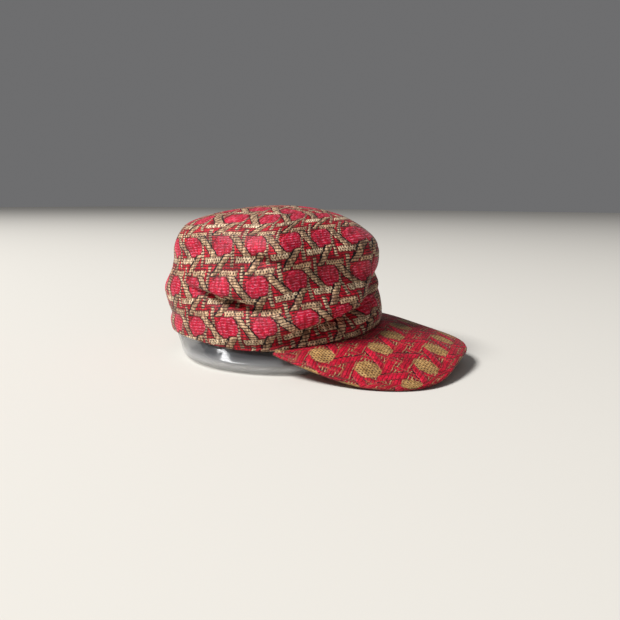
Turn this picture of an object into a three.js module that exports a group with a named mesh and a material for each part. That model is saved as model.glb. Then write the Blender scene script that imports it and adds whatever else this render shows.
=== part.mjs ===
// Soft peaked cap of woven cloth, resting on a low display form.
// Millimetres, +Z up. The peak points to -Y, and the side that slumps lowest is at -X.
import * as THREE from 'three';

// Cap sizes
const headLength = 196; // outside of the rim, front to back
const headWidth = 166; // outside of the rim, side to side
const capHeight = 133; // top of the crown above the surface
const rimHeight = 22; // lower edge of the cap above the surface, at the back
const clothWall = 2.2; // cloth and its backing
const foldDepth = 5; // depth of a plain soft fold

// Peak sizes
const peakReach = 73; // from the front of the rim to the tip
const peakWidth = 165; // across its widest place
const peakRoot = 41; // widest place, in front of the middle of the cap
const peakSquareness = 3.27; // 2 is an ellipse, more is squarer
const peakBoard = 2.8; // board and the cloth on both sides
const peakCamber = 1.6; // rise of the peak's middle above a straight slope
const peakColumns = 11; // columns of the crown's mesh on each side that the peak is sewn to
const peakCorner = 0.45; // how far each corner is rounded back toward the crown, as a share
const lastTurn = 90; // turn of the edge at its corners, in degrees from straight ahead
const cornerSharpness = 12; // how late the corners come back

// Display form sizes
const formFootLength = 179; // outside of the foot, front to back
const formFootWidth = 175; // outside of the foot, side to side
const formFootForward = 4; // middle of the foot, in front of the middle of the cap
const formWall = 2; // plastic
const formCorner = 9; // radius of the round lower corner
const formFlange = 9; // flat foot, measured inward from the corner
const formRise = 8; // top of the form above the cap's lower edge
const formLip = 2.5; // height of the lip that carries the cap
const formFlare = 1.5; // where the wall starts to flare out, below the cap's lower edge

// Mesh and clearance
const clearance = 0.3; // between pieces that touch
const columns = 64; // around the crown and the form
const wallRows = 28; // from the rim to the top seam
const topRows = 4; // from the top seam to the middle
const peakRows = 6; // from the crown to the peak's edge
const peakStep = 0.5; // columns of the crown's mesh between two sections of the peak
const cornerSteps = 3;
const poleSize = 0.5; // radius of the small first ring at the middle of the top

const halfLength = headLength / 2;
const halfWidth = headWidth / 2;
const crownRise = capHeight - rimHeight;

// Lower edge of the crown: angle in degrees from the front toward the slumped side, height as a share
// of rimHeight. The peak pulls it down at one corner and lifts it at the other.
const rimRows = [
  { angle: -180, height: 1.04 },
  { angle: -130, height: 1.07 },
  { angle: -90, height: 1.2 },
  { angle: -62, height: 1.36 },
  { angle: -35, height: 1.55 },
  { angle: -10, height: 1.52 },
  { angle: 9, height: 1.34 },
  { angle: 27, height: 1.22 },
  { angle: 51, height: 1.04 },
  { angle: 68, height: 0.86 },
  { angle: 85, height: 0.86 },
  { angle: 107, height: 0.98 },
  { angle: 130, height: 1.02 },
  { angle: 180, height: 1.04 },
];

// Section of the crown from the rim to the middle of the top: size as a share of the half length and
// half width, rise as a share of crownRise, shift to the back as a share of the half length.
const sections = [
  { size: 1.01, rise: 0, shift: 0.006 },
  { size: 1.02, rise: 0.08, shift: 0.012 },
  { size: 1.014, rise: 0.2, shift: 0.02 },
  { size: 1.002, rise: 0.33, shift: 0.026 },
  { size: 0.982, rise: 0.45, shift: 0.024 },
  { size: 0.968, rise: 0.57, shift: 0.015 },
  { size: 0.962, rise: 0.655, shift: 0.014 },
  { size: 0.928, rise: 0.733, shift: 0.02 },
  { size: 0.87, rise: 0.792, shift: 0.03 },
  { size: 0.795, rise: 0.842, shift: 0.028 },
  { size: 0.685, rise: 0.893, shift: 0.014 },
  { size: 0.555, rise: 0.935, shift: -0.006 },
  { size: 0.4, rise: 0.967, shift: -0.03 },
  { size: 0.2, rise: 0.992, shift: -0.05 },
  { size: 0, rise: 1, shift: -0.06 },
];
const seamSize = 0.53; // size of the section at which the top piece is sewn in

// Soft folds of the slouching crown: middle and half spread in degrees, level and its half reach below
// and above as shares of the crown's rise, lean as the change of level over the spread, depth as a share
// of foldDepth. A groove with a short reach above has cloth hanging over it.
const folds = [
  { name: 'slouch groove', angle: 31, spread: 42, level: 0.155, below: 0.075, above: 0.03, lean: -0.1, depth: 1.35 },
  { name: 'slouch bulge', angle: 34, spread: 32, level: 0.25, below: 0.045, above: 0.1, lean: -0.1, depth: -1.3 },
  { name: 'notch at the front', angle: -8, spread: 18, level: 0.37, below: 0.06, above: 0.06, lean: -0.05, depth: 1.5 },
  { name: 'full front', angle: -10, spread: 30, level: 0.57, below: 0.09, above: 0.16, lean: 0, depth: -0.35 },
  { name: 'side dent', angle: 66, spread: 11, level: 0.63, below: 0.07, above: 0.03, lean: 0.02, depth: 1.2 },
  { name: 'side ridge', angle: 60, spread: 12, level: 0.74, below: 0.3, above: 0.24, lean: 0, depth: -1.5 },
  { name: 'waist before the ridge', angle: 28, spread: 24, level: 0.49, below: 0.1, above: 0.1, lean: 0, depth: 0.9 },
  { name: 'flat before the ridge', angle: 34, spread: 16, level: 0.72, below: 0.14, above: 0.18, lean: 0, depth: 0.7 },
  { name: 'flat behind the ridge', angle: 90, spread: 20, level: 0.68, below: 0.14, above: 0.16, lean: 0, depth: 0.5 },
  { name: 'side crease', angle: 86, spread: 21, level: 0.34, below: 0.08, above: 0.025, lean: 0.05, depth: 1.3 },
  { name: 'side roll', angle: 92, spread: 24, level: 0.42, below: 0.045, above: 0.12, lean: 0.03, depth: -0.9 },
  { name: 'rear side tuck', angle: 116, spread: 20, level: 0.66, below: 0.08, above: 0.04, lean: -0.05, depth: 0.45 },
  { name: 'rear belly', angle: 158, spread: 40, level: 0.33, below: 0.11, above: 0.11, lean: 0, depth: -1 },
  { name: 'rear tuck', angle: 150, spread: 30, level: 0.13, below: 0.04, above: 0.04, lean: 0, depth: 0.4 },
  { name: 'full rear shoulder', angle: 165, spread: 40, level: 0.86, below: 0.06, above: 0.06, lean: 0, depth: -0.8 },
  { name: 'far side fold', angle: -80, spread: 34, level: 0.4, below: 0.06, above: 0.04, lean: 0.08, depth: 0.7 },
];

// Edge of the peak, seen from its root: turn in degrees toward the slumped side, height of its upper
// face as a share of rimHeight.
const peakEdgeRows = [
  { turn: -90, height: 1.32 },
  { turn: -60, height: 1.18 },
  { turn: -40, height: 0.88 },
  { turn: -20, height: 0.68 },
  { turn: 0, height: 0.58 },
  { turn: 18, height: 0.27 },
  { turn: 32, height: 0.155 },
  { turn: 45, height: 0.21 },
  { turn: 60, height: 0.47 },
  { turn: 75, height: 0.72 },
  { turn: 90, height: 0.9 },
];

const crimson = new THREE.Color('#a8283a');
const scarlet = new THREE.Color('#b8202f');
const cloudedWhite = new THREE.Color('#c9ccce');

function finish(color, roughness) {
  return new THREE.MeshStandardMaterial({ color, roughness, metalness: 0 });
}

// Smooth value of one column of a table at a place along another, with a slope at each row that
// follows its neighbours.
function smoothTable(rows, along, column, place) {
  const last = rows.length - 1;
  const step = rows[last][along] > rows[0][along] ? 1 : -1;
  let row = 0;
  while (row < last - 1 && (place - rows[row + 1][along]) * step > 0) row += 1;
  const slopeAt = (index) => {
    const before = rows[Math.max(index - 1, 0)];
    const after = rows[Math.min(index + 1, last)];
    return (after[column] - before[column]) / (after[along] - before[along]);
  };
  const from = rows[row];
  const to = rows[row + 1];
  const width = to[along] - from[along];
  const t = THREE.MathUtils.clamp((place - from[along]) / width, 0, 1);
  const rising = t * t * (3 - 2 * t);
  const leaving = t * (1 - t) * (1 - t) * width * slopeAt(row);
  const arriving = t * t * (t - 1) * width * slopeAt(row + 1);
  return from[column] + (to[column] - from[column]) * rising + leaving + arriving;
}

const toRadians = THREE.MathUtils.degToRad;

function turnedWithin180(angle) {
  return angle - 360 * Math.round(angle / 360);
}

function rimHeightAt(angle) {
  return rimHeight * smoothTable(rimRows, 'angle', 'height', turnedWithin180(angle));
}

// How far the folds push the cloth inward at a place on the crown.
function foldAt(angle, rise) {
  let depth = 0;
  for (const fold of folds) {
    const around = turnedWithin180(angle - fold.angle) / fold.spread;
    const higher = rise - fold.level - fold.lean * THREE.MathUtils.clamp(around, -2, 2);
    const across = higher / (higher < 0 ? fold.below : fold.above);
    depth += fold.depth * foldDepth * Math.exp(-around * around - across * across);
  }
  return depth;
}

const sectionCurve = new THREE.SplineCurve(
  sections.map((row) => new THREE.Vector2(row.size * halfWidth, row.rise * crownRise)),
);
const sectionLength = sectionCurve.getLength();

// Share of the section's length at which it has shrunk to a size.
function placeOfSize(size) {
  let low = 0.3;
  let high = 1;
  for (let pass = 0; pass < 40; pass += 1) {
    const middle = (low + high) / 2;
    if (sectionCurve.getPointAt(middle).x > size * halfWidth) low = middle;
    else high = middle;
  }
  return low;
}

// Point of the crown at an angle and a share of the section's length, a depth below its outer face.
function crownPoint(angle, along, inset) {
  const at = sectionCurve.getPointAt(along);
  const direction = sectionCurve.getTangentAt(along);
  const rise = at.y / crownRise;
  const size = at.x / halfWidth;
  const inward = inset * direction.y + foldAt(angle, rise) * Math.min(size * 1.6, 1);
  const rim = rimHeightAt(angle);
  const turn = toRadians(angle);
  return new THREE.Vector3(
    -Math.sin(turn) * (size * halfWidth - inward),
    -Math.cos(turn) * (size * halfLength - inward) + smoothTable(sections, 'rise', 'shift', rise) * halfLength,
    rim + (capHeight - rim) * rise + inset * direction.x,
  );
}

// Closed body through a row of loops with as many points each. A closed row joins its last loop to its
// first, and an open one has a fan over each end.
function bodyThrough(loops, closed) {
  const points = loops.flat();
  const size = loops[0].length;
  const faces = [];
  const bands = closed ? loops.length : loops.length - 1;
  for (let band = 0; band < bands; band += 1) {
    const here = band * size;
    const next = ((band + 1) % loops.length) * size;
    for (let index = 0; index < size; index += 1) {
      const after = (index + 1) % size;
      faces.push([here + index, next + index, here + after], [next + index, next + after, here + after]);
    }
  }
  if (!closed) {
    const addFan = (loop, first, reverse) => {
      const middle = loop.reduce((sum, point) => sum.add(point), new THREE.Vector3());
      const hub = points.push(middle.divideScalar(size)) - 1;
      for (let index = 0; index < size; index += 1) {
        const after = (index + 1) % size;
        faces.push(reverse ? [hub, first + after, first + index] : [hub, first + index, first + after]);
      }
    };
    addFan(loops[0], 0, false);
    addFan(loops[loops.length - 1], (loops.length - 1) * size, true);
  }
  const volume = faces.reduce((sum, [a, b, c]) => (
    sum + points[a].dot(new THREE.Vector3().crossVectors(points[b], points[c]))
  ), 0);
  const order = volume > 0 ? faces : faces.map(([a, b, c]) => [a, c, b]);
  const geometry = new THREE.BufferGeometry().setFromPoints(points);
  geometry.setIndex(order.flat());
  geometry.computeVertexNormals();
  return geometry;
}

const columnAngles = Array.from({ length: columns }, (_, column) => (column * 360) / columns);

const seamPlace = placeOfSize(seamSize);
const seamGap = clearance / sectionLength;

// Crown wall: a ring of closed sections, up the outer face and down the inner one.
function crownWall() {
  const loops = columnAngles.map((angle) => {
    const loop = [];
    for (let row = 0; row <= wallRows; row += 1) loop.push(crownPoint(angle, (seamPlace * row) / wallRows, 0));
    for (let row = wallRows; row >= 0; row -= 1) {
      loop.push(crownPoint(angle, (seamPlace * row) / wallRows, clothWall));
    }
    return loop;
  });
  return bodyThrough(loops, true);
}

// Crown top: rings from the middle of its upper face out to the seam and back to the middle below.
function crownTop() {
  const start = seamPlace + seamGap;
  const poleGap = poleSize / sectionLength;
  const placeOf = (row) => start + ((1 - poleGap - start) * row) / topRows;
  const ring = (row, inset) => columnAngles.map((angle) => crownPoint(angle, placeOf(row), inset));
  const rings = [];
  for (let row = topRows; row >= 0; row -= 1) rings.push(ring(row, 0));
  for (let row = 0; row < topRows; row += 1) rings.push(ring(row, clothWall));
  return bodyThrough(rings, false);
}

// Outer edge of the peak at a turn from straight ahead, as a squared-off half oval about its root whose
// corners come back toward the crown.
function peakEdge(turn, root) {
  const reach = halfLength + peakReach - peakRoot;
  const ahead = Math.abs(Math.cos(toRadians(turn))) / reach;
  const aside = Math.abs(Math.sin(toRadians(turn))) / (peakWidth / 2);
  const distance = (ahead ** peakSquareness + aside ** peakSquareness) ** (-1 / peakSquareness);
  const edge = new THREE.Vector3(
    -distance * Math.sin(toRadians(turn)),
    -peakRoot - distance * Math.cos(toRadians(turn)),
    rimHeight * smoothTable(peakEdgeRows, 'turn', 'height', turn),
  );
  return edge.lerp(root, peakCorner * Math.abs(turn / lastTurn) ** cornerSharpness);
}

// Peak: sections from one corner to the other, out along the upper face and back along the lower one.
function peakBody() {
  const edgeRound = peakBoard / 2;
  const loops = [];
  for (let column = -peakColumns; column <= peakColumns; column += peakStep) {
    const angle = (column * 360) / columns;
    const underWall = new THREE.Vector3(0, 0, -clearance);
    const inner = crownPoint(angle, 0, clothWall).add(underWall);
    const root = crownPoint(angle, 0, -clothWall / 2).add(underWall);
    inner.z = root.z;
    const edge = peakEdge((column / peakColumns) * lastTurn, root);
    const outward = edge.clone().sub(root).setZ(0).normalize();
    const face = [inner];
    for (let row = 0; row <= peakRows; row += 1) {
      const t = row / peakRows;
      const point = root.clone().lerp(edge.clone().addScaledVector(outward, -edgeRound), t);
      point.z += peakCamber * 4 * t * (1 - t);
      face.push(point);
    }
    const nose = edge.clone().setZ(edge.z - edgeRound);
    const below = face.map((point) => point.clone().setZ(point.z - peakBoard)).reverse();
    loops.push([...face, nose, ...below]);
  }
  return bodyThrough(loops, false);
}

// Display form: a ring with a flat foot, a round lower corner, a wall and a lip under the crown's wall.
function displayForm() {
  const loops = columnAngles.map((angle) => {
    const turn = toRadians(angle);
    const footX = (inset) => -Math.sin(turn) * (formFootWidth / 2 - inset);
    const footY = (inset) => -Math.cos(turn) * (formFootLength / 2 - inset) - formFootForward;
    const foot = (inset, height) => new THREE.Vector3(footX(inset), footY(inset), height);
    const lipTop = rimHeightAt(angle) + formRise;
    const lipFace = lipPoint(angle, clothWall + clearance, lipTop);
    const lipLow = lipPoint(angle, clothWall + clearance, lipTop - formLip);
    const inwardOf = (point, distance) => {
      const middle = new THREE.Vector3(0, 0, point.z);
      return point.clone().addScaledVector(middle.sub(point).normalize(), distance);
    };
    const outer = [foot(formCorner + formFlange, 0)];
    for (let step = 0; step <= cornerSteps; step += 1) {
      const bend = (step / cornerSteps) * (Math.PI / 2);
      outer.push(foot(formCorner * (1 - Math.sin(bend)), formCorner * (1 - Math.cos(bend))));
    }
    const neck = inwardOf(lipLow, formWall).setZ(lipLow.z - formWall);
    const neckLow = neck.clone().setZ(rimHeightAt(angle) - formFlare);
    const inner = [
      inwardOf(lipFace, 2 * formWall),
      inwardOf(neckLow, formWall),
      foot(formWall, formCorner),
      foot(formCorner, formWall),
      foot(formCorner + formFlange, formWall),
    ];
    return [...outer, neckLow, neck, lipLow, lipFace, ...inner];
  });
  return bodyThrough(loops, true);
}

// Point on the crown's straight mesh steps at a height, a depth below its outer face.
function lipPoint(angle, inset, height) {
  let below = crownPoint(angle, 0, inset);
  for (let row = 1; row <= wallRows; row += 1) {
    const above = crownPoint(angle, (seamPlace * row) / wallRows, inset);
    if (above.z >= height) return below.lerp(above, (height - below.z) / (above.z - below.z));
    below = above;
  }
  return below;
}

const group = new THREE.Group();

function addPiece(name, geometry, color, roughness) {
  const mesh = new THREE.Mesh(geometry, finish(color, roughness));
  mesh.name = name;
  group.add(mesh);
}

addPiece('crown_wall', crownWall(), crimson, 0.85);
addPiece('crown_top', crownTop(), crimson, 0.85);
addPiece('peak', peakBody(), scarlet, 0.85);
addPiece('display_form', displayForm(), cloudedWhite, 0.2);

// The origin is the middle of the outline on the surface.
const box = new THREE.Box3().setFromObject(group);
const middle = box.getCenter(new THREE.Vector3());
group.position.set(-middle.x, -middle.y, -box.min.z);
group.updateMatrixWorld(true);

export default group;
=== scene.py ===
# %% [markdown]
# # A soft peaked cap of cane-pattern cloth
#
# The cap is sewn from one jacquard cloth: crimson octagons between gold strips that cross like the
# canes of a chair seat. The crown shows the cloth's face and the peak shows its back, where red and gold
# change places. The cap rests on a low form of clear plastic.
#
# The imported solids give the size and the place of every piece, so they are loaded first.

import math

import bmesh
import bpy
import numpy as np
from mathutils import Matrix, Vector


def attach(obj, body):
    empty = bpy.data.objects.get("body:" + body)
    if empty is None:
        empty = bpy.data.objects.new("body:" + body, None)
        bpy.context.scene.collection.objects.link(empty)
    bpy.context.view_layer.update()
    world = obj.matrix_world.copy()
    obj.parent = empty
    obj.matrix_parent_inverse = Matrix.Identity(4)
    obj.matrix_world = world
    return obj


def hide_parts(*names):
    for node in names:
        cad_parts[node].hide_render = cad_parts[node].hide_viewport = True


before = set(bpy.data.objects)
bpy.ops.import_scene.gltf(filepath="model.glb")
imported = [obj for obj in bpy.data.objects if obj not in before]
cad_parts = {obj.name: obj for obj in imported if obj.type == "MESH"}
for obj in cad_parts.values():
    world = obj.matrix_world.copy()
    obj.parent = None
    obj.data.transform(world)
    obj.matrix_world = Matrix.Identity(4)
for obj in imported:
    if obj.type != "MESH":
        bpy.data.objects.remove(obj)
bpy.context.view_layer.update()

MM = 0.001  # all sizes below are in millimetres, where nothing else is said


# %% [markdown]
# ## The camera
#
# The camera stands low, a little above the crown, and looks down by ten degrees. Level lines of the
# photograph that are parallel in the room run to one far point, and that gives the lens. A camera could
# be placed by hand and turned with a Track To constraint, but a matrix made from the directions in which
# it looks keeps the small roll too.

# %% Camera
cap_middle = Vector((0.0, 33.225, 0.0))  # middle of the head oval, seen from the frame's origin
picture_width = 620
focal_pixels = 613
camera_place = Vector((-480.1, -282.2, 137.0)) + cap_middle
look_down = math.radians(10.1)
heading = math.radians(27.2)
roll = 0.0064

level_ahead = Vector((math.cos(heading), math.sin(heading), 0))
ahead = level_ahead * math.cos(look_down) - Vector((0, 0, math.sin(look_down)))
level_right = ahead.cross(Vector((0, 0, 1))).normalized()
level_up = level_right.cross(ahead)
right = (level_right + level_up * roll).normalized()
up = right.cross(ahead)
turned = Matrix((right, up, -ahead)).transposed().to_4x4()

camera_data = bpy.data.cameras.new("camera")
camera_data.sensor_width = 36
camera_data.lens = camera_data.sensor_width * focal_pixels / picture_width
camera = bpy.data.objects.new("camera", camera_data)
camera.matrix_world = Matrix.Translation(camera_place * MM) @ turned
bpy.context.scene.collection.objects.link(camera)
bpy.context.scene.camera = camera
print(f"lens {camera_data.lens:.1f} mm, camera at {[round(c) for c in camera_place]} mm")


# %% [markdown]
# ## Floor and light
#
# A wide pale floor and a pale sky stand in for a white studio. One large soft lamp from the upper left
# gives the crown its bright side and leaves its front in a soft half shade, and the sky fills the
# shadows. A sky picture could light it all, but one lamp can be placed where the shadows ask for it.

# %% Helpers for materials
def linear(hex_colour):
    """Linear colour for an sRGB hex string."""
    parts = [int(hex_colour[i : i + 2], 16) / 255 for i in (1, 3, 5)]
    return [p / 12.92 if p <= 0.04045 else ((p + 0.055) / 1.055) ** 2.4 for p in parts] + [1.0]


def add_node(tree, kind, inputs=(), output=0, **settings):
    """Adds a node with its settings and returns one output, or a slice of its outputs.

    The inputs are values or links, in a dictionary by socket or in a row for the first sockets."""
    node = tree.nodes.new(kind)
    for key, value in settings.items():
        setattr(node, key, value)
    pairs = inputs.items() if isinstance(inputs, dict) else enumerate(inputs)
    for key, value in pairs:
        if isinstance(value, bpy.types.NodeSocket):
            tree.links.new(value, node.inputs[key])
        else:
            node.inputs[key].default_value = value
    return node.outputs[output]


def new_material(name, values):
    """A material whose principled shader has these values on its own sockets, and that shader."""
    material = bpy.data.materials.new(name)
    material.use_nodes = True
    shader = material.node_tree.nodes["Principled BSDF"]
    for socket, value in values.items():
        shader.inputs[socket].default_value = value
    return material, shader


# %% Floor
floor_reach = 9  # metres to each side
floor_mesh = bpy.data.meshes.new("floor")
floor_form = bmesh.new()
bmesh.ops.create_grid(floor_form, x_segments=1, y_segments=1, size=floor_reach)
floor_form.to_mesh(floor_mesh)
floor_form.free()
floor = bpy.data.objects.new("floor", floor_mesh)
bpy.context.scene.collection.objects.link(floor)

# Matt emulsion paint, rolled on: it gives the eye no gloss and takes soft shadows.
floor_paint, shader = new_material("matt_painted_floor", {"Base Color": linear("#dedad2"), "Roughness": 0.85})
floor_mesh.materials.append(floor_paint)
print(f"floor {2 * floor_reach} m wide")


# %% Sky and lamp
sky = bpy.data.worlds.new("pale_room")
sky.use_nodes = True
sky_light = sky.node_tree.nodes["Background"].inputs
sky_light["Color"].default_value = linear("#e4e4e6")
sky_light["Strength"].default_value = 0.2
bpy.context.scene.world = sky

lamp_place, lamp_target = Vector((-2.9, 2.68, 4.6)), Vector((0, 0, 0.06))  # in metres
lamp_data = bpy.data.lights.new("large_soft_lamp", "AREA")
lamp_data.size = 2.0
lamp_data.energy = 500
lamp = bpy.data.objects.new("large_soft_lamp", lamp_data)
lamp.location = lamp_place
lamp.rotation_euler = (lamp_target - lamp_place).to_track_quat("-Z", "Y").to_euler()
bpy.context.scene.collection.objects.link(lamp)
bpy.context.scene.view_settings.view_transform = "Standard"
print(f"lamp {(lamp_target - lamp_place).length:.1f} m away and {lamp_data.size:.1f} m wide")


# %% [markdown]
# ## Shape of the crown
#
# The crown is a body of soft cloth. Its section, from the rim up over the shoulder to the middle of the
# top, is one smooth curve; the curve is carried round the head oval, and soft folds push the cloth in or
# out. The tables of the section, the rim and the folds are the ones that the solids have, so each piece
# lies where its solid lies. Fine creases that solids don't need come in a second table, and a fine groove
# marks the seams at the centre front and the centre back. A cloth simulation would find folds of its own,
# but here the few folds of a stiff cloth have to lie where the photograph has them.

# %% Tables of the crown
half_length, half_width = 98.0, 83.0  # half sizes of the head oval, outside
cap_height, rim_height = 133.0, 22.0  # top of the crown and, at the back, its lower edge above the floor
fold_depth = 5.0  # depth of a plain soft fold
crown_rise = cap_height - rim_height
cloth_wall = 2.2  # thickness of the cloth and its backing
clearance = 0.3  # gap between neighbouring pieces
seam_size = 0.53  # size of the top piece, as a share of the head oval
panel_seam_width, panel_seam_depth = 1.5, 0.6  # the seams at the centre front and the centre back

# Lower edge: degrees from the front toward the slumped side, height as a share of rim_height.
rim_rows = [
    (-180, 1.04), (-130, 1.07), (-90, 1.2), (-62, 1.36), (-35, 1.55), (-10, 1.52), (9, 1.34), (27, 1.22),
    (51, 1.04), (68, 0.86), (85, 0.86), (107, 0.98), (130, 1.02), (180, 1.04),
]
# Section: size, rise and shift to the back, as shares.
section_rows = [
    (1.01, 0, 0.006), (1.02, 0.08, 0.012), (1.014, 0.2, 0.02), (1.002, 0.33, 0.026), (0.982, 0.45, 0.024),
    (0.968, 0.57, 0.015), (0.962, 0.655, 0.014), (0.928, 0.733, 0.02), (0.87, 0.792, 0.03),
    (0.795, 0.842, 0.028), (0.685, 0.893, 0.014), (0.555, 0.935, -0.006), (0.4, 0.967, -0.03),
    (0.2, 0.992, -0.05), (0, 1, -0.06),
]
# Folds: angle, spread in degrees, level, reach below it, reach above it, lean, depth as a share of
# fold_depth (inward is plus). A groove with a short reach above has cloth hanging over it.
fold_rows = [
    (31, 42, 0.155, 0.075, 0.03, -0.1, 1.35), (34, 32, 0.25, 0.045, 0.1, -0.1, -1.3),
    (-8, 18, 0.37, 0.06, 0.06, -0.05, 1.5), (-10, 30, 0.57, 0.09, 0.16, 0, -0.35),
    (66, 11, 0.63, 0.07, 0.03, 0.02, 1.2), (60, 12, 0.74, 0.3, 0.24, 0, -1.5),
    (28, 24, 0.49, 0.1, 0.1, 0, 0.9), (34, 16, 0.72, 0.14, 0.18, 0, 0.7),
    (90, 20, 0.68, 0.14, 0.16, 0, 0.5), (86, 21, 0.34, 0.08, 0.025, 0.05, 1.3),
    (92, 24, 0.42, 0.045, 0.12, 0.03, -0.9), (116, 20, 0.66, 0.08, 0.04, -0.05, 0.45),
    (158, 40, 0.33, 0.11, 0.11, 0, -1), (150, 30, 0.13, 0.04, 0.04, 0, 0.4),
    (165, 40, 0.86, 0.06, 0.06, 0, -0.8), (-80, 34, 0.4, 0.06, 0.04, 0.08, 0.7),
]
# Creases that only the cloth has, in the same columns.
crease_rows = [
    (26, 36, 0.17, 0.035, 0.011, -0.09, 1.2), (24, 32, 0.21, 0.014, 0.04, -0.09, -0.55),
    (86, 18, 0.342, 0.025, 0.009, 0.045, 0.9), (90, 18, 0.37, 0.012, 0.04, 0.045, -0.3),
    (64, 11, 0.635, 0.016, 0.01, 0.01, 0.4), (60, 6, 0.78, 0.16, 0.2, 0, -0.4),
    (120, 24, 0.5, 0.03, 0.03, 0.05, 0.15), (100, 14, 0.13, 0.02, 0.015, 0.08, 0.25),
    (24, 12, 0.44, 0.025, 0.012, 0.05, 0.25), (112, 16, 0.8, 0.02, 0.02, 0.06, 0.2),
    (-40, 26, 0.6, 0.025, 0.015, 0.06, 0.25), (-120, 30, 0.25, 0.03, 0.015, -0.08, 0.35),
    (-100, 24, 0.72, 0.02, 0.015, 0.03, 0.25), (170, 22, 0.55, 0.025, 0.02, 0.05, 0.3),
    (-150, 22, 0.48, 0.03, 0.02, -0.05, 0.3), (10, 20, 0.78, 0.02, 0.015, -0.06, 0.2),
    (20, 14, 0.235, 0.024, 0.01, -0.06, 0.8), (8, 15, 0.09, 0.02, 0.01, -0.04, 0.6),
    (0, 11, 0.165, 0.018, 0.01, 0.05, 0.5), (46, 9, 0.06, 0.016, 0.008, -0.03, 0.35),
]
lean_reach = 2  # a fold leans over this many spreads to each side, and then runs level
fold_fade = 1.6  # folds fade toward the middle of the top, once the size there is below 1 / fold_fade
slope_step = 0.5  # mm to each side over which the slope of the section is measured
print(f"{len(fold_rows)} folds and {len(crease_rows)} creases")


# %% Section and lower edge
def smooth_table(places, values, place):
    """Smooth values through a table, with a slope at each row that follows its neighbours."""
    places, values = np.array(places, float), np.array(values, float)
    last = len(places) - 1
    row = np.clip(np.searchsorted(places, place) - 1, 0, last - 1)
    before, after = np.maximum(np.arange(last + 1) - 1, 0), np.minimum(np.arange(last + 1) + 1, last)
    slope = (values[after] - values[before]) / (places[after] - places[before])
    width = places[row + 1] - places[row]
    t = np.clip((place - places[row]) / width, 0, 1)
    rising = (values[row + 1] - values[row]) * t * t * (3 - 2 * t)
    return values[row] + rising + width * t * (1 - t) * ((1 - t) * slope[row] - t * slope[row + 1])


def within_half_turn(angle):
    """The same angle between -180 and 180 degrees."""
    return (angle + 180) % 360 - 180


def rim_at(angle):
    """Height of the cap's lower edge."""
    return rim_height * smooth_table(*zip(*rim_rows), within_half_turn(angle))


def section_curve(steps=64):
    """Points of the section, on a smooth curve through its rows, and their lengths from the rim."""
    rows = np.array([(size * half_width, rise * crown_rise) for size, rise, shift in section_rows])
    before, after = np.vstack([rows[:1], rows[:-1]]), np.vstack([rows[1:], rows[-1:]])
    slope = (after - before) / 2
    t = np.linspace(0, 1, steps, endpoint=False)[None, :, None]
    a, b, sa, sb = rows[:-1, None], rows[1:, None], slope[:-1, None], slope[1:, None]
    curve = a + (b - a) * t * t * (3 - 2 * t) + sa * t * (1 - t) ** 2 + sb * t * t * (t - 1)
    curve = np.vstack([curve.reshape(-1, 2), rows[-1:]])
    steps_along = np.linalg.norm(np.diff(curve, axis=0), axis=1)
    return curve, np.concatenate([[0], np.cumsum(steps_along)])


section_points, section_lengths = section_curve()
section_length = section_lengths[-1]
narrowing = section_lengths > 0.3 * section_length  # past the widest part, the size only falls
seam_level = np.interp(-seam_size * half_width, -section_points[narrowing, 0], section_lengths[narrowing])
print(f"section {section_length:.0f} mm long, top seam {seam_level:.0f} mm above the rim")


# %% Points of the crown
def folds_at(rows, angle, rise):
    """How far a table of folds pushes the cloth inward, in mm."""
    depth = np.zeros(np.broadcast(angle, rise).shape)
    for middle, spread, level, below, above, lean, share in rows:
        around = within_half_turn(angle - middle) / spread
        across = rise - level - lean * np.clip(around, -lean_reach, lean_reach)
        across = across / np.where(across < 0, below, above)
        depth += share * fold_depth * np.exp(-around * around - across * across)
    return depth


def crown_points(angle, level, inset, creases=1.0):
    """Points of the crown: degrees from the front, mm up the cloth from the rim, mm below the face."""
    x, y = (np.interp(level, section_lengths, values) for values in section_points.T)
    low, high = np.maximum(level - slope_step, 0), np.minimum(level + slope_step, section_length)
    run, climb = (
        np.interp(high, section_lengths, values) - np.interp(low, section_lengths, values)
        for values in section_points.T
    )
    length = np.hypot(run, climb)
    run, climb = run / length, climb / length
    rise, size = y / crown_rise, x / half_width
    fold = folds_at(fold_rows, angle, rise) + creases * folds_at(crease_rows, angle, rise)
    off_seam = np.abs(np.sin(np.radians(angle))) * size * half_width / panel_seam_width
    fold = fold + creases * panel_seam_depth * np.exp(-off_seam * off_seam) * (level < seam_level)
    inward = inset * climb + fold * np.minimum(size * fold_fade, 1)
    rim = rim_at(angle)
    shift = smooth_table(*np.array(section_rows).T[1:], rise) * half_length
    turn = np.radians(angle)
    return np.stack(
        [
            -np.sin(turn) * (size * half_width - inward) + cap_middle.x,
            -np.cos(turn) * (size * half_length - inward) + shift + cap_middle.y,
            rim + (cap_height - rim) * rise + inset * run,
        ],
        -1,
    )


front_shoulder = crown_points(np.array([0.0]), seam_level, 0.0)[0]
print(f"front shoulder at {[round(float(c), 1) for c in front_shoulder]} mm")


# %% [markdown]
# ## Where the pattern lies on the cloth
#
# The loom repeats one cell every 31 mm. On a cap that was cut and sewn by hand the rows of octagons
# aren't quite straight, and they fan apart over the shoulder. The table gives the places of some
# octagons: degrees from the front, millimetres up the cloth, column and row. A thin-plate warp, the
# bend of a springy sheet that is held at a few pins, leads the pattern through them without a kink.
# An image texture would need a picture; UV places in cells let one set of nodes draw any cap.

# %% Pattern places
cell_pitch = 30.7
warp_stiffness = 300.0
far_panel_start = 0.8  # the far panel was cut this share of a cell further along the cloth

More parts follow.
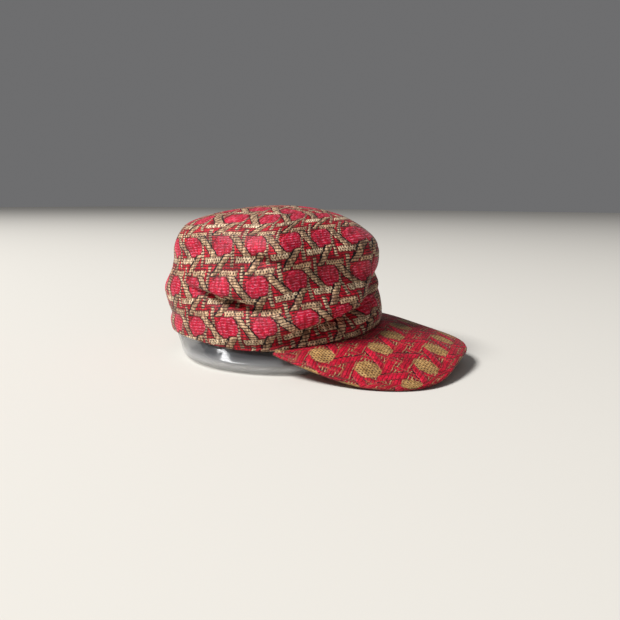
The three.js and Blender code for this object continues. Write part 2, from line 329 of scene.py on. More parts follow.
octagon_pins = [
    (30, 24, 1, 0), (48, 23, 2, 0), (68, 19, 3, 0), (86, 18, 4, 0), (106, 12, 5, 0),
    (8, 55, 0, 1), (33, 55, 1, 1), (52, 54, 2, 1), (71, 50, 3, 1), (90, 48, 4, 1), (106, 45, 5, 1),
    (124, 42, 6, 1),
    (14, 89, 0, 2), (36, 87, 1, 2), (55, 86, 2, 2), (72, 83, 3, 2), (92, 81, 4, 2), (112, 77, 5, 2),
    (12, 121, 1, 3), (43, 120, 2, 3), (66, 112, 3, 3), (94, 113, 4, 3), (128, 107, 5, 3),
    (144, 9, 7, 0), (164, 39, 8, 1), (152, 73, 7, 2),
]

oval_angles = np.linspace(-180, 180, 721)
oval_turns = np.radians(oval_angles)
oval = np.stack([half_width * np.sin(oval_turns), half_length * np.cos(oval_turns)], -1)
oval_lengths = np.concatenate([[0], np.cumsum(np.linalg.norm(np.diff(oval, axis=0), axis=1))])
oval_lengths -= np.interp(0, oval_angles, oval_lengths)
print(f"girth {2 * oval_lengths[-1]:.0f} mm, {2 * oval_lengths[-1] / cell_pitch:.1f} cells round the cap")


# %% The warp of the pattern
def warp_through(pins, cells):
    """A smooth sheet over the plane that takes each pin to its cell; returns the function."""
    pins, cells = np.array(pins, float), np.array(cells, float)

    def bend(points):
        squared = ((points[..., None, :] - pins) ** 2).sum(-1) + 1e-9  # never the logarithm of nothing
        return squared * np.log(squared) / 2

    count = len(pins)
    flat = np.hstack([np.ones((count, 1)), pins])
    system = np.zeros((count + 3, count + 3))
    system[:count, :count] = bend(pins) + np.eye(count) * warp_stiffness
    system[:count, count:], system[count:, :count] = flat, flat.T
    weights = np.linalg.solve(system, np.vstack([cells, np.zeros((3, 2))]))

    def warp(points):
        return bend(points) @ weights[:count] + weights[count] + points @ weights[count + 1 :]

    return warp


pin_angles, pin_levels, pin_columns, pin_rows = np.array(octagon_pins, float).T
pin_places = np.stack([np.interp(pin_angles, oval_angles, oval_lengths), pin_levels], -1)
pin_cells = np.stack([-pin_columns, pin_rows], -1)
crown_cell = warp_through(pin_places, pin_cells)
missed = crown_cell(pin_places) - pin_cells
print(f"{len(octagon_pins)} octagons, the furthest {np.abs(missed).max() * cell_pitch:.1f} mm off its place")


def crown_uv(angle, level):
    """Cloth place in cells. Each side of the crown is one panel, and they meet at the front and the back."""
    side = np.interp(angle, oval_angles, oval_lengths)
    cell = crown_cell(np.stack([np.abs(side), level], -1))
    across = np.where(side < 0, -cell[..., 0] - far_panel_start, cell[..., 0])
    return np.stack([across, cell[..., 1]], -1)


# %% [markdown]
# ## Cloth shells
#
# Every cloth piece is made the same way. A flat grid is cut with the create-grid operator, one corner of
# it for every thread or two. Each corner is then moved to its place on the cap, and the grid's own
# columns and rows tell where that is. So the pattern's UV is known exactly, and no unwrapping is needed.

# %% Helper for cloth
weld_distance = 0.002 * MM  # corners nearer than this are made one


def grid_piece(name, columns, rows, place_of, uv_of, loop_around=True):
    """A grid of columns by rows whose corners go where place_of says; its closing seams are merged."""
    form = bmesh.new()
    bmesh.ops.create_grid(form, x_segments=columns, y_segments=rows, size=0.5)
    mesh = bpy.data.meshes.new(name)
    form.to_mesh(mesh)
    form.free()
    flat = np.zeros(len(mesh.vertices) * 3, np.float32)
    mesh.vertices.foreach_get("co", flat)
    flat = flat.reshape(-1, 3).astype(float)
    column = np.rint((flat[:, 0] + 0.5) * columns).astype(int)
    row = np.rint((flat[:, 1] + 0.5) * rows).astype(int)
    mesh.vertices.foreach_set("co", (place_of(column, row) * MM).astype(np.float32).ravel())
    corner = np.zeros(len(mesh.loops), np.int32)
    mesh.loops.foreach_get("vertex_index", corner)
    layer = mesh.uv_layers.new(name="cloth")
    layer.data.foreach_set("uv", uv_of(column, row)[corner].astype(np.float32).ravel())
    if loop_around:
        form = bmesh.new()
        form.from_mesh(mesh)
        bmesh.ops.remove_doubles(form, verts=form.verts, dist=weld_distance)
        bmesh.ops.recalc_face_normals(form, faces=form.faces)
        form.to_mesh(mesh)
        form.free()
    mesh.shade_smooth()
    piece = bpy.data.objects.new(name, mesh)
    bpy.context.scene.collection.objects.link(piece)
    triangles = sum(len(face.vertices) - 2 for face in mesh.polygons)
    print(f"{name}: {triangles} triangles")
    return piece


# %% [markdown]
# ## The crown's wall
#
# The wall is one tube of cloth with its own thickness. The rows of the grid start at the top seam, go
# down the outside, round the hem and up the inside, and close again at the seam. A Solidify modifier
# could give the thickness, but then the hem would be square.

# %% Crown wall
wall_columns = 540
outer_rows, hem_rows, inner_rows = 132, 6, 24
outer_levels = np.linspace(seam_level, cloth_wall / 2, outer_rows + 1)
hem_turns = np.linspace(0, math.pi, hem_rows + 1)[1:]
hem_levels = cloth_wall / 2 * (1 - np.sin(hem_turns))
hem_insets = cloth_wall / 2 * (1 - np.cos(hem_turns))
inner_levels = np.linspace(cloth_wall / 2, seam_level, inner_rows + 1)[1:]
wall_levels = np.concatenate([outer_levels, hem_levels, inner_levels, [seam_level]])
wall_insets = np.concatenate([np.zeros(outer_rows + 1), hem_insets, np.full(inner_rows, cloth_wall), [0]])
wall_rows = len(wall_levels) - 1
print("rows of the wall:", wall_rows)


def wall_place(column, row):
    angle = 180 - column * 360 / wall_columns
    return crown_points(angle, wall_levels[row], wall_insets[row])


def wall_uv(column, row):
    angle = 180 - column * 360 / wall_columns
    return crown_uv(angle, wall_levels[row])


crown_wall = grid_piece("crown_cloth", wall_columns, wall_rows, wall_place, wall_uv)
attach(crown_wall, "root")
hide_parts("crown_wall")


# %% [markdown]
# ## The crown's top
#
# A small oval of the same cloth closes the crown. Its grid runs from the middle out to the seam and back
# under itself, and the rows at the middle are merged to one point. It is cut straight from the cloth, so
# its pattern is laid flat from above and doesn't follow the wall's.

# %% Crown top
top_columns = 288
top_outer_rows, top_inner_rows = 48, 14
top_start = seam_level + clearance
top_outer = np.linspace(section_length, top_start, top_outer_rows)
top_inner = np.linspace(top_start, section_length, top_inner_rows)
top_levels = np.concatenate([top_outer, top_inner])
top_insets = np.concatenate([np.zeros(top_outer_rows), np.full(top_inner_rows, cloth_wall)])


def top_place(column, row):
    angle = 180 - column * 360 / top_columns
    return crown_points(angle, top_levels[row], top_insets[row])


def top_uv(column, row):
    place = top_place(column, row)
    return np.stack([place[:, 1] / -cell_pitch, place[:, 0] / cell_pitch], -1)


crown_top = grid_piece("crown_top_cloth", top_columns, len(top_levels) - 1, top_place, top_uv)
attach(crown_top, "root")
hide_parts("crown_top")


# %% [markdown]
# ## The peak
#
# The peak is a stiff board with cloth on both faces. Its outline is a squared-off half oval, and its edge
# twists: it dips toward the slumped side and rises on the far side. The cloth is turned over the edge and
# gathered there, so the edge is round and the pattern is crowded along it.

# %% Outline of the peak
peak_reach, peak_width = 73.0, 165.0  # forward of the head oval, and from side to side
peak_root, peak_squareness = 41.0, 3.27  # how far forward the outline's middle lies, and its power
peak_board, peak_camber = 2.8, 1.6  # thickness, and the rise of the face between root and edge
peak_corner, corner_sharpness = 0.45, 12  # how far the outline's ends are drawn in, and how suddenly
peak_last_angle = 11 * 360 / 64  # place on the rim where the peak ends, in degrees from the front
# Edge: turn in degrees toward the slumped side, height of the upper face as a share of rim_height.
peak_edge_rows = [
    (-90, 1.32), (-60, 1.18), (-40, 0.88), (-20, 0.68), (0, 0.58), (18, 0.27), (32, 0.155), (45, 0.21),
    (60, 0.47), (75, 0.72), (90, 0.9),
]
print(f"the peak ends {peak_last_angle:.0f} degrees from the front, to each side")


def peak_edge(turn, root):
    """Points of the peak's outer edge at a turn from straight ahead."""
    reach = half_length + peak_reach - peak_root
    bend = np.radians(turn)
    ahead_share, aside_share = np.abs(np.cos(bend)) / reach, np.abs(np.sin(bend)) / (peak_width / 2)
    distance = (ahead_share**peak_squareness + aside_share**peak_squareness) ** (-1 / peak_squareness)
    edge = np.stack(
        [
            -distance * np.sin(bend) + cap_middle.x,
            -peak_root - distance * np.cos(bend) + cap_middle.y,
            rim_height * smooth_table(*zip(*peak_edge_rows), turn),
        ],
        -1,
    )
    return edge + (root - edge) * (peak_corner * np.abs(turn / 90) ** corner_sharpness)[..., None]


# %% Places on the peak
peak_columns = 260
upper_rows, round_rows, lower_rows = 96, 8, 30
peak_rows = upper_rows + round_rows + lower_rows
edge_crowding = 3.0  # how many times its own length of cloth the round edge takes up
gathered_rows, gathered_length = 4, 7.0  # rows of the grid, and mm of cloth, taken up before the edge
# Octagons on the peak: mm to the side and forward from the middle of the head oval, and their cells.
peak_pins = [(-66, 80), (-62, 117), (-32, 115), (-33, 153), (-5, 115), (0, 152), (20, 114), (29, 148)]
peak_cells = [(0, 0), (0, -1), (-1, -1), (-1, -2), (-2, -1), (-2, -2), (-3, -1), (-3, -2)]
peak_cell = warp_through(peak_pins, peak_cells)


def peak_place(column, row):
    """Corners of the peak. The rows run out over the upper face, round the edge and back below."""
    share = column * 2 / peak_columns - 1
    angle = share * peak_last_angle
    inner = crown_points(angle, 0.0, cloth_wall, 0)
    root = crown_points(angle, 0.0, -cloth_wall / 2, 0)
    inner[:, 2] = root[:, 2] = rim_at(angle) - clearance
    edge = peak_edge(share * 90, root)
    outward = edge - root
    outward[:, 2] = 0
    outward /= np.linalg.norm(outward, axis=1)[:, None]
    radius = peak_board / 2
    rim = edge - outward * radius
    t = np.clip(np.where(row <= upper_rows, row / upper_rows, (peak_rows - row) / lower_rows), 0, 1)
    face = root + (rim - root) * t[:, None]
    face[:, 2] += peak_camber * 4 * t * (1 - t)
    bend = np.clip((row - upper_rows) / round_rows, 0, 1) * math.pi
    face += outward * (np.sin(bend) * radius)[:, None]
    lowered = (np.cos(bend) - 1) * radius
    face[:, 2] += lowered
    at_root = (row == 0) | (row == peak_rows)
    return np.where(at_root[:, None], inner + [0, 0, 1] * lowered[:, None], face)


def peak_uv(column, row):
    """Cloth place in cells: flat on both faces, and carried on outward round the edge."""
    place = peak_place(column, row)
    flat = np.stack([place[:, 0] - cap_middle.x, cap_middle.y - place[:, 1]], -1)
    outward = flat - [0, peak_root]
    outward /= np.linalg.norm(outward, axis=1)[:, None]
    bend = np.clip((row - upper_rows) / round_rows, 0, 1) * math.pi
    gathered = np.clip(1 + (row - upper_rows) / gathered_rows, 0, 1) * gathered_length
    carried = gathered + edge_crowding * peak_board / 2 * (bend - np.sin(bend))
    return peak_cell(flat + outward * carried[:, None])


# %% Peak
peak = grid_piece("peak_cloth", peak_columns, peak_rows, peak_place, peak_uv, loop_around=False)
form = bmesh.new()
form.from_mesh(peak.data)
open_edges = [edge for edge in form.edges if edge.is_boundary]
bmesh.ops.holes_fill(form, edges=open_edges, sides=0)
bmesh.ops.recalc_face_normals(form, faces=form.faces)
form.to_mesh(peak.data)
form.free()
peak.data.shade_smooth()
print(f"{len(open_edges)} open edges closed")
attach(peak, "root")
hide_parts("peak")


# %% [markdown]
# ## Cane-pattern cloth
#
# Jacquard weaving lifts single warp threads, so a picture is woven in: here strips of gold rep weave
# that seem to pass over and under each other, dotted bands, and octagons of crimson twill between them.
# The nodes work in one cell of the pattern. Each strip is a straight band about its own middle, in
# millimetres, and each of its ribs is a pair of rows of weft. The strips are listed from the lowest to
# the one on top.
#
# A loom can end a strip only at a thread. So the place in the cell is first stepped row by row, and each
# row is shifted a little by chance, which makes the ragged edges that woven pictures have.

# %% Areas of one cell
# Ends are in cells from the octagon's middle, x to the right and y up; the width is in mm. Slanted strips
# are cut off level, as a loom cuts them. An outline is a dark thread beside the strip, moved by x, y in
# mm. The weave shows lines of warp between ribs of weft, or dots of warp. A line takes the part of a rib
# that line_share says, and dashes holds the two levels of chance between which it comes and goes.
gold_post = {"width": 2.9, "weave": "lines", "edge": 0.5,
             "yarns": ("#987860", "#dcbc9a"), "line": "#1c0c08", "line_share": 0.4}
red_band = {"width": 4.8, "weave": "lines", "edge": 0.45,
            "yarns": ("#a80622", "#c21032"), "line": "#900a22", "line_share": 0.3}
red_post = {"width": 3.6, "weave": "lines", "edge": 0.4,
            "yarns": ("#a00622", "#bc0c2c"), "line": "#64101c", "line_share": 0.2}
crown_areas = [
    {"ends": ((-0.6, -0.36), (0.06, -0.36)), "width": 4.4, "weave": "dots", "edge": 0.6,
     "yarns": ("#a48064", "#f4d8b4"), "line": "#0c0605"},
    {"ends": ((-0.04, 0.34), (0.48, 0.34)), "width": 4.2, "weave": "dots", "edge": 0.6,
     "yarns": ("#98745a", "#dcb892"), "line": "#120706"},
    {"ends": ((0.3, -0.52), (0.3, 0.06)), **gold_post},
    {"ends": ((-0.4, 0.0), (-0.4, 0.52)), **gold_post},
    {"octagon": (8.7, 7.9), "weave": "lines", "edge": 0.6,
     "yarns": ("#980620", "#c40e34"), "line": "#e46a84", "line_share": 0.42, "dashes": (0.45, 0.62)},
    {"ends": ((-0.24, -0.72), (0.17, -0.22)), "width": 4.5, "weave": "lines", "edge": 0.5,
     "yarns": ("#84604a", "#d8b28c"), "line": "#341a12", "line_share": 0.28,
     "outlines": ((-1.35, 0.75), (0.5, -0.35))},
    {"ends": ((0.3, 0.27), (0.72, -0.27)), "width": 4.7, "weave": "lines", "edge": 0.5,
     "yarns": ("#8c6850", "#e0bc96"), "line": "#341a12", "line_share": 0.28,
     "outlines": ((1.1, 0.5), (-0.8, -0.4))},
]
peak_areas = [
    {"ends": ((-0.66, -0.345), (0.12, -0.345)), **red_band},
    {"ends": ((-0.14, 0.37), (0.54, 0.37)), **red_band},
    {"ends": ((0.3, -0.52), (0.3, 0.06)), **red_post},
    {"ends": ((-0.4, 0.0), (-0.4, 0.52)), **red_post},
    {"ends": ((-0.33, -0.77), (0.18, -0.26)), "width": 5.4, "weave": "lines", "edge": 0.4,
     "yarns": ("#b00624", "#c81236"), "line": "#980c24", "line_share": 0.3,
     "outlines": ((-0.9, 0.5), (0.5, -0.3))},
    {"ends": ((0.2, 0.24), (0.76, -0.24)), "width": 5.9, "weave": "lines", "edge": 0.4,
     "yarns": ("#b40624", "#cc1438"), "line": "#980c24", "line_share": 0.3,
     "outlines": ((0.8, 0.5), (-0.6, -0.35))},
    {"octagon": (7.5, 7.6), "weave": "dots", "edge": 0.5,
     "yarns": ("#9c7440", "#c09860"), "line": "#481a10"},
]
# The ground between the areas, with the colour of every outline and of the thin edge round each area
crown_ground = {"weave": "lines", "yarns": ("#8c081a", "#cc182e"), "line": "#3a060d", "line_share": 0.34,
                "dashes": (0.38, 0.48), "outline": "#0e0606", "edge": "#5c0a14"}
peak_ground = {"weave": "lines", "yarns": ("#640618", "#a00c26"), "line": "#a88e62", "line_share": 0.33,
               "dashes": (0.38, 0.48), "outline": "#2c0a0a", "edge": "#98744a"}
print(f"{len(crown_areas)} areas on the face of the cloth and {len(peak_areas)} on its back")


# %% Sizes of the threads
# Real cloth of this kind has about two rows of weft to the millimetre. Here a row is 1.1 mm, about twice
# as coarse as it is, so that it shows in the render.
thread_row = 1.1  # height of one row of weft
row_shift = 0.45  # the most that chance moves one row to the side
pull_reach, pull_rate, pull_detail = 0.9, 0.16, 2.0  # how far and how often the cloth is out of true
float_length = 1.4  # length of the yarn that lies on top between two bindings
dot_pitch, dot_rows = 2.3, 0.6  # from dot to dot along a row, and rows of dots to a row of weft
dot_middle, dot_outside, dot_flatness = 0.22, 0.34, 0.7  # a dot fades out between the first two
dash_rate, dash_start = 0.3, 9.0  # dashes to the mm, and how far chance moves a row of them
line_softness, edge_softness = 0.06, 0.4  # of a line as a share of its rib, and of an area in mm
corner_cut, corner_slope = 0.72, 0.72  # where the octagon's corners are cut, and the slant of the cut
# Chance that changes slowly over the cloth: how often to the mm, across and up, then its detail, the two
# levels of chance that count, and the values that the cloth takes at them
slow_chances = {
    "slub": ((0.5, 0.12), 2.0, (0.38, 0.62, 0.0, 1.0)),
    "unbroken": ((0.4, 0.22), 1.0, (0.34, 0.46, 0.35, 1.0)),
    "patches": ((0.045, 0.07), 3.0, (0.3, 0.7, 0.76, 1.2)),
}
painted_glint_tones = (0.72, 1.28)  # the darkest and the lightest float of yarn, as painted glints
# Relief as shares of the height of a top strip
top_strip_height, strip_height, octagon_height, ground_height, line_depth = 1.0, 0.6, 0.3, 0.2, 0.25
relief = 0.9  # that height, in mm
roll_outer, roll_inner = 0.1, -1.7  # a strip's side rolls down between these distances past it
edge_cover = 0.7  # how much of the ground the thin edge round an area hides
print(f"{cell_pitch / thread_row:.0f} rows of weft to one cell")


# %% Places among the threads
MATH, VECTOR, RANGE, MIX = "ShaderNodeMath", "ShaderNodeVectorMath", "ShaderNodeMapRange", "ShaderNodeMix"
COMBINE, SEPARATE = "ShaderNodeCombineXYZ", "ShaderNodeSeparateXYZ"
NOISE, WHITE_NOISE = "ShaderNodeTexNoise", "ShaderNodeTexWhiteNoise"


def off_middle(tree, place):
    """How far a place is from the middle of its repeat, where one repeat is 1 long."""
    part = add_node(tree, MATH, (place,), operation="FRACT")
    past = add_node(tree, MATH, (part, 0.5), operation="SUBTRACT")
    return add_node(tree, MATH, (past,), operation="ABSOLUTE")


def thread_places(tree):
    """Where a point lies among the threads, in mm, in rows of weft and in cells, and what chance it has."""
    uv = add_node(tree, "ShaderNodeUVMap", uv_map="cloth")
    flat = add_node(tree, VECTOR, (uv, (cell_pitch, cell_pitch, 0)), operation="MULTIPLY")
    threads = {}
    for name, (rate, detail, levels) in slow_chances.items():
        stretched = add_node(tree, VECTOR, (flat, (*rate, 0)), operation="MULTIPLY")
        inputs = {"Vector": stretched, "Scale": 1.0, "Detail": detail}
        chance = add_node(tree, NOISE, inputs, "Fac", noise_dimensions="2D")
        threads[name] = add_node(tree, RANGE, (chance, *levels))

    # Pull of the cloth, then the rows of weft and the pairs of rows that make one rib
    inputs = {"Vector": flat, "Scale": pull_rate, "Detail": pull_detail}
    wander = add_node(tree, NOISE, inputs, "Color", noise_dimensions="2D")
    both_ways = (2 * pull_reach, 2 * pull_reach, 0), (-pull_reach, -pull_reach, 0)
    pull = add_node(tree, VECTOR, (wander, *both_ways), operation="MULTIPLY_ADD")
    pulled = add_node(tree, VECTOR, (flat, pull), operation="ADD")
    x, y = add_node(tree, SEPARATE, (pulled,), slice(2))
    in_rows = add_node(tree, MATH, (y, thread_row), operation="DIVIDE")
    row = add_node(tree, MATH, (in_rows,), operation="FLOOR")
    in_pairs = add_node(tree, MATH, (in_rows, 0.5), operation="MULTIPLY")
    pair = add_node(tree, MATH, (in_pairs,), operation="FLOOR")
    row_chance, pair_chance = (
        add_node(tree, WHITE_NOISE, {"W": number}, noise_dimensions="1D") for number in (row, pair)
    )

    # The cell, stepped by whole rows
    shift = add_node(tree, RANGE, (row_chance, 0.0, 1.0, -row_shift, row_shift))
    stepped_x = add_node(tree, MATH, (x, shift), operation="ADD")
    row_middle = add_node(tree, MATH, (row, thread_row, thread_row / 2), operation="MULTIPLY_ADD")
    twice_y = add_node(tree, MATH, (row_middle, y), operation="ADD")
    half_stepped_y = add_node(tree, MATH, (twice_y, 0.5), operation="MULTIPLY")
    stepped = add_node(tree, COMBINE, (stepped_x, half_stepped_y))
    cell = add_node(tree, VECTOR, (stepped, (1 / cell_pitch, 1 / cell_pitch, 0)), operation="MULTIPLY")

    # Short marks along the yarn, which start anew in each pair of rows
    pair_start = add_node(tree, MATH, (pair_chance, dash_start), operation="MULTIPLY")
    dash_x = add_node(tree, MATH, (x, dash_rate, pair_start), operation="MULTIPLY_ADD")
    dash_place = add_node(tree, COMBINE, (dash_x, pair))
    inputs = {"Vector": dash_place, "Scale": 1.0, "Detail": 1.0}
    dashes = add_node(tree, NOISE, inputs, "Fac", noise_dimensions="2D")
    threads.update(x=x, in_rows=in_rows, row=row, cell=cell, dashes=dashes)
    threads["off_rib"] = off_middle(tree, in_pairs)
    return threads


# %% Distances from strips and octagons
def place_in_cell(tree, cell, middle):
    """Place in mm from the nearest copy of a point of the cell."""
    moved = add_node(tree, VECTOR, (cell, (0.5 - middle[0], 0.5 - middle[1], 0)), operation="ADD")
    wrapped = add_node(tree, VECTOR, (moved,), operation="FRACTION")
    to_mm = (cell_pitch,) * 3, (-cell_pitch / 2, -cell_pitch / 2, 0)
    return add_node(tree, VECTOR, (wrapped, *to_mm), operation="MULTIPLY_ADD")


def strip_distance(tree, cell, area, shift=(0.0, 0.0)):
    """Distance in mm out of a strip of the repeated cell, which may be moved by some mm."""
    (x0, y0), (x1, y1) = area["ends"]
    middle = ((x0 + x1) / 2 + shift[0] / cell_pitch, (y0 + y1) / 2 + shift[1] / cell_pitch)
    x, y = add_node(tree, SEPARATE, (place_in_cell(tree, cell, middle),), slice(2))
    run, climb = (x1 - x0) * cell_pitch, (y1 - y0) * cell_pitch
    length = math.hypot(run, climb)
    side_x = add_node(tree, MATH, (x, climb / length), operation="MULTIPLY")
    across = add_node(tree, MATH, (y, -run / length, side_x), operation="MULTIPLY_ADD")
    along, half_long = (x, abs(run) / 2) if climb == 0 else (y, abs(climb) / 2)
    past = []
    for place, half in ((across, area["width"] / 2), (along, half_long)):
        size = add_node(tree, MATH, (place,), operation="ABSOLUTE")
        past.append(add_node(tree, MATH, (size, half), operation="SUBTRACT"))
    return add_node(tree, MATH, past, operation="MAXIMUM")


def octagon_distance(tree, cell, half_x, half_y):
    """Distance in mm out of the octagon round each cell's middle: a box with its corners cut."""
    size = add_node(tree, VECTOR, (place_in_cell(tree, cell, (0, 0)),), operation="ABSOLUTE")
    x, y = add_node(tree, SEPARATE, (size,), slice(2))
    past_x = add_node(tree, MATH, (x, half_x), operation="SUBTRACT")
    past_y = add_node(tree, MATH, (y, half_y), operation="SUBTRACT")
    box = add_node(tree, MATH, (past_x, past_y), operation="MAXIMUM")
    both = add_node(tree, MATH, (x, y), operation="ADD")
    past_corner = add_node(tree, MATH, (both, (half_x + half_y) * corner_cut), operation="SUBTRACT")
    slanted = add_node(tree, MATH, (past_corner, corner_slope), operation="MULTIPLY")
    return add_node(tree, MATH, (box, slanted), operation="MAXIMUM")


# %% Weave of one area
SHARE, UNDER, OVER = 0, 6, 7  # the Mix node's sockets for two colours
COLOURS = {"output": 2, "data_type": "RGBA"}  # and its output, with the setting that shows them


def dots(tree, threads):
    """Dots of bare warp in rows, each row set half a step to the side of the next."""
    in_dot_rows = add_node(tree, MATH, (threads["in_rows"], dot_rows), operation="MULTIPLY")
    number = add_node(tree, MATH, (in_dot_rows,), operation="FLOOR")
    counted = add_node(tree, MATH, (number,), operation="ABSOLUTE")
    odd_row = add_node(tree, MATH, (counted, 2.0), operation="MODULO")
    in_dots = add_node(tree, MATH, (threads["x"], dot_pitch), operation="DIVIDE")
    set_off = add_node(tree, MATH, (odd_row, 0.5, in_dots), operation="MULTIPLY_ADD")
    aside, above = off_middle(tree, set_off), off_middle(tree, in_dot_rows)
    far = add_node(tree, MATH, (above, dot_flatness, aside), operation="MULTIPLY_ADD")
    return add_node(tree, RANGE, (far, dot_middle, dot_outside, 1.0, 0.0))


def woven(tree, threads, area):
    """Colour of one area of the pattern, and how far its warp shows, from 0 to 1."""
    dull, bright = (linear(yarn) for yarn in area["yarns"])
    tone = add_node(tree, MIX, {SHARE: threads["slub"], UNDER: dull, OVER: bright}, **COLOURS)
    if area["weave"] == "dots":
        line = dots(tree, threads)
    else:
        start = 0.5 - area["line_share"] / 2
        line = add_node(tree, RANGE, (threads["off_rib"], start - line_softness, start + line_softness))
    if "dashes" in area:
        dash = add_node(tree, RANGE, (threads["dashes"], *area["dashes"]))
        line = add_node(tree, MATH, (dash, line), operation="MULTIPLY")
    return add_node(tree, MIX, {SHARE: line, UNDER: tone, OVER: linear(area["line"])}, **COLOURS), line


# %% The pattern, area by area
def laid_pattern(tree, threads, areas, ground):
    """Colour and height of the cloth: the ground, and each area laid over what is there already."""
    smooth = {"interpolation_type": "SMOOTHSTEP"}
    half_soft = edge_softness / 2
    colour, line = woven(tree, threads, ground)
    height = add_node(tree, MATH, (line, -ground_height, ground_height), operation="MULTIPLY_ADD")
    for area in areas:
        if "octagon" in area:
            past = octagon_distance(tree, threads["cell"], *area["octagon"])
            raised = octagon_height
        else:
            past = strip_distance(tree, threads["cell"], area)
            raised = top_strip_height if "outlines" in area else strip_height
        near = add_node(tree, RANGE, (past, area["edge"] + half_soft, area["edge"] - half_soft), **smooth)
        edge = add_node(tree, MATH, (near, edge_cover), operation="MULTIPLY")
        colour = add_node(tree, MIX, {SHARE: edge, UNDER: colour, OVER: linear(ground["edge"])}, **COLOURS)
        for shift in area.get("outlines", ()):
            beside = strip_distance(tree, threads["cell"], area, shift)
            outline = add_node(tree, RANGE, (beside, half_soft, -half_soft), **smooth)
            shown = add_node(tree, MATH, (outline, threads["unbroken"]), operation="MULTIPLY")
            colour = add_node(
                tree, MIX, {SHARE: shown, UNDER: colour, OVER: linear(ground["outline"])}, **COLOURS
            )
        mask = add_node(tree, RANGE, (past, half_soft, -half_soft), **smooth)
        body, line = woven(tree, threads, area)
        colour = add_node(tree, MIX, {SHARE: mask, UNDER: colour, OVER: body}, **COLOURS)
        roll_down = add_node(tree, RANGE, (past, roll_outer, roll_inner), **smooth)
        top = add_node(tree, MATH, (line, -line_depth, raised), operation="MULTIPLY_ADD")
        lifted = add_node(tree, MATH, (roll_down, top), operation="MULTIPLY")
        uncovered = add_node(tree, MATH, (1.0, mask), operation="SUBTRACT")
        height = add_node(tree, MATH, (uncovered, height, lifted), operation="MULTIPLY_ADD")
    return colour, height


# %% Cloth material
def cane_cloth(name, areas, ground):
    """One side of the jacquard cloth. Its dyed yarn gives a low, broad gloss and a little fuzz."""
    finish = {"Roughness": 0.55, "Specular IOR Level": 0.25, "Sheen Weight": 0.08, "Sheen Roughness": 0.4}
    material, shader = new_material(name, finish)
    tree = material.node_tree
    threads = thread_places(tree)
    colour, height = laid_pattern(tree, threads, areas, ground)

    # Dyed yarn is never even: broad patches are a little darker or lighter. Each float is also a little
    # darker or lighter at random, a painted glint of single floats of yarn
    in_floats = add_node(tree, MATH, (threads["x"], float_length), operation="DIVIDE")
    float_number = add_node(tree, MATH, (in_floats,), operation="FLOOR")
    float_place = add_node(tree, COMBINE, (float_number, threads["row"]))
    float_chance = add_node(tree, WHITE_NOISE, {"Vector": float_place}, noise_dimensions="2D")
    painted_float_glint = add_node(tree, RANGE, (float_chance, 0.0, 1.0, *painted_glint_tones))
    uneven = add_node(tree, MATH, (threads["patches"], painted_float_glint), operation="MULTIPLY")
    colour = add_node(tree, VECTOR, {0: colour, "Scale": uneven}, operation="SCALE")

    bump = add_node(tree, "ShaderNodeBump", {"Height": height, "Distance": relief * MM, "Strength": 1.0})
    tree.links.new(colour, shader.inputs["Base Color"])
    tree.links.new(bump, shader.inputs["Normal"])
    print(f"{name}: {len(tree.nodes)} nodes")
    return material


crown_finish = cane_cloth("jacquard_cloth_face", crown_areas, crown_ground)
peak_finish = cane_cloth("jacquard_cloth_back", peak_areas, peak_ground)
for piece, finish in ((crown_wall, crown_finish), (crown_top, crown_finish), (peak, peak_finish)):
    piece.data.materials.append(finish)


# %% [markdown]
# ## The display form
#
# The cap rests on the lip of a low oval form, as caps are sent and shown. Such forms are drawn from thin
# clear sheet over a mould while it is hot, so the lower corner is round and the wall is smooth and
# glossy. The sheet could be one skin with a Solidify modifier, but here its section is carried round the
# oval as the cloth's is, because the lip has to follow the inner face of the cloth.

# %% Section of the form
foot_half_length, foot_half_width, foot_forward = 89.5, 87.5, 4.0
form_wall = 2.0
form_corner, form_flange = 9.0, 9.0  # radius of the lower corner, and width of the flat foot inside it
form_rise, form_lip = 8.0, 2.5  # how far the lip stands above the cap's lower edge, and its height
form_flare = 1.5  # the neck ends, and the wall flares out, this far below the cap's lower edge
form_columns = 192
corner_steps, wall_steps = 12, 8
searched_height, search_steps = 40, 400  # how the inner face of the cloth is searched for a height


def foot_points(turn, inset, height):
    """Points of the foot's oval, moved inward by an inset."""
    return np.stack(
        [
            -np.sin(turn) * (foot_half_width - inset) + cap_middle.x,
            -np.cos(turn) * (foot_half_length - inset) - foot_forward + cap_middle.y,
            np.full(len(turn), float(height)),
        ],
        -1,
    )


def inward_of(points, distance):
    """The same points, moved toward the middle of the cap."""
    flat = np.array([cap_middle.x, cap_middle.y]) - points[:, :2]
    moved = points.copy()
    moved[:, :2] += flat / np.linalg.norm(flat, axis=1)[:, None] * distance
    return moved


def lip_points(angle, height):
    """Points at a height, just inside the inner face of the cloth."""
    levels = np.linspace(0, searched_height, search_steps + 1)
    face = crown_points(angle[:, None], levels[None, :], cloth_wall + clearance, 0)
    index = (face[..., 2] < height[:, None]).sum(1)
    return face[np.arange(len(angle)), np.minimum(index, search_steps)]


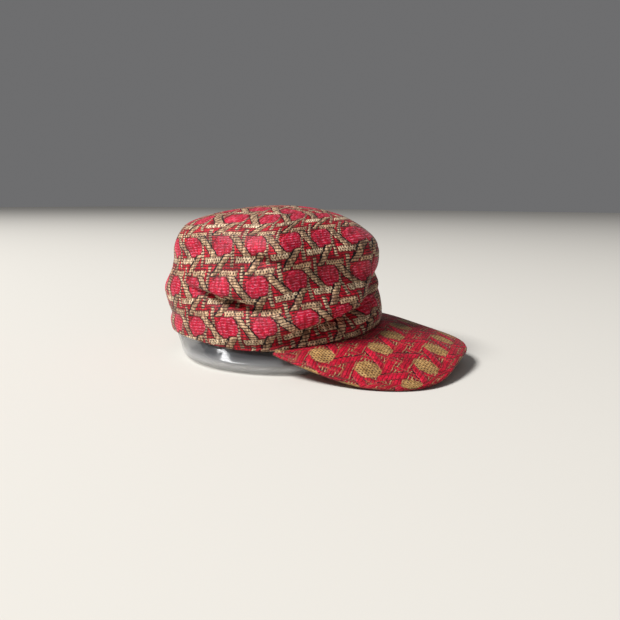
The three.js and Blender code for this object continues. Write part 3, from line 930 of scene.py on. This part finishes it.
def form_sections(angle):
    """Corners of the form's section at each angle, from the foot's inner edge up the outside and back."""
    turn, rim = np.radians(angle), rim_at(angle)
    lip_face = lip_points(angle, rim + form_rise)
    lip_low = lip_points(angle, rim + form_rise - form_lip)
    neck = inward_of(lip_low, form_wall)
    neck[:, 2] = lip_low[:, 2] - form_wall
    neck_low = neck.copy()
    neck_low[:, 2] = rim - form_flare

    bends = np.linspace(0, math.pi / 2, corner_steps + 1)
    inner_corner = form_corner - form_wall
    wall_foot = foot_points(turn, 0, form_corner)
    rows = [foot_points(turn, form_corner + form_flange, 0)]
    for bend in bends:
        rows += [foot_points(turn, form_corner * (1 - math.sin(bend)), form_corner * (1 - math.cos(bend)))]
    rows += [wall_foot + (neck_low - wall_foot) * t for t in np.linspace(0, 1, wall_steps + 1)[1:]]
    rows += [neck, lip_low, lip_face, inward_of(lip_face, 2 * form_wall), inward_of(neck_low, form_wall)]
    for bend in bends:
        inset, height = (form_corner - inner_corner * part for part in (math.cos(bend), math.sin(bend)))
        rows += [foot_points(turn, inset, height)]
    rows += [foot_points(turn, form_corner + form_flange, form_wall), rows[0]]
    return np.stack(rows, 1)


form_points = form_sections(180 - np.arange(form_columns + 1) * 360 / form_columns)
form_rows = form_points.shape[1] - 1
print(f"{form_rows} rows round the form's section, lip up to {form_points[..., 2].max():.1f} mm")


# %% Display form
def form_place(column, row):
    return form_points[column, row]


def form_uv(column, row):
    return np.stack([column / form_columns, row / form_rows], -1)


display_form = grid_piece("display_form_shell", form_columns, form_rows, form_place, form_uv)
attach(display_form, "root")
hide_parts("display_form")


# %% [markdown]
# ## Clear plastic
#
# The form is PET sheet, vacuum formed. Heat and the mould leave slow waves in its skin, so its reflections
# swim. A pure glass shader would need a lit room all round to look right. Here part of the light goes
# through by transmission, part by alpha, and the rest is a glossy skin. Its colour holds painted light: it
# is white at the round corner, a painted reflection of the bright floor, and greyer up the wall, painted
# shade under the cap.

# %% Plastic material
painted_shade_low, painted_shade_high = 0.8 * form_corner, 1.5 * form_corner  # heights between which the painted shade of the wall comes in
waves_to_metre, wave_height = 38.0, 4.0

skin = {"Roughness": 0.14, "IOR": 1.5, "Specular IOR Level": 0.7, "Transmission Weight": 0.6, "Alpha": 0.42}
plastic, shader = new_material("vacuum_formed_clear_plastic", skin)
tree = plastic.node_tree
place = add_node(tree, "ShaderNodeTexCoord", output="Object")
height = add_node(tree, SEPARATE, (place,), "Z")
painted_shade_share = add_node(tree, RANGE, (height, painted_shade_low * MM, painted_shade_high * MM))
# Painted light: white at the corner for the bright floor it reflects, grey up the wall for the shade under
# the cap
painted_floor_reflection, painted_wall_shade = linear("#fcfdfe"), linear("#787c80")
painted_light_and_shade = add_node(tree, MIX, {SHARE: painted_shade_share, UNDER: painted_floor_reflection, OVER: painted_wall_shade}, **COLOURS)
waves = add_node(tree, NOISE, {"Vector": place, "Scale": waves_to_metre, "Detail": 1.5}, "Fac")
uneven = add_node(tree, "ShaderNodeBump", {"Height": waves, "Distance": wave_height * MM, "Strength": 0.5})
tree.links.new(painted_light_and_shade, shader.inputs["Base Color"])
tree.links.new(uneven, shader.inputs["Normal"])
display_form.data.materials.append(plastic)
print(f"{plastic.name}: {len(tree.nodes)} nodes")
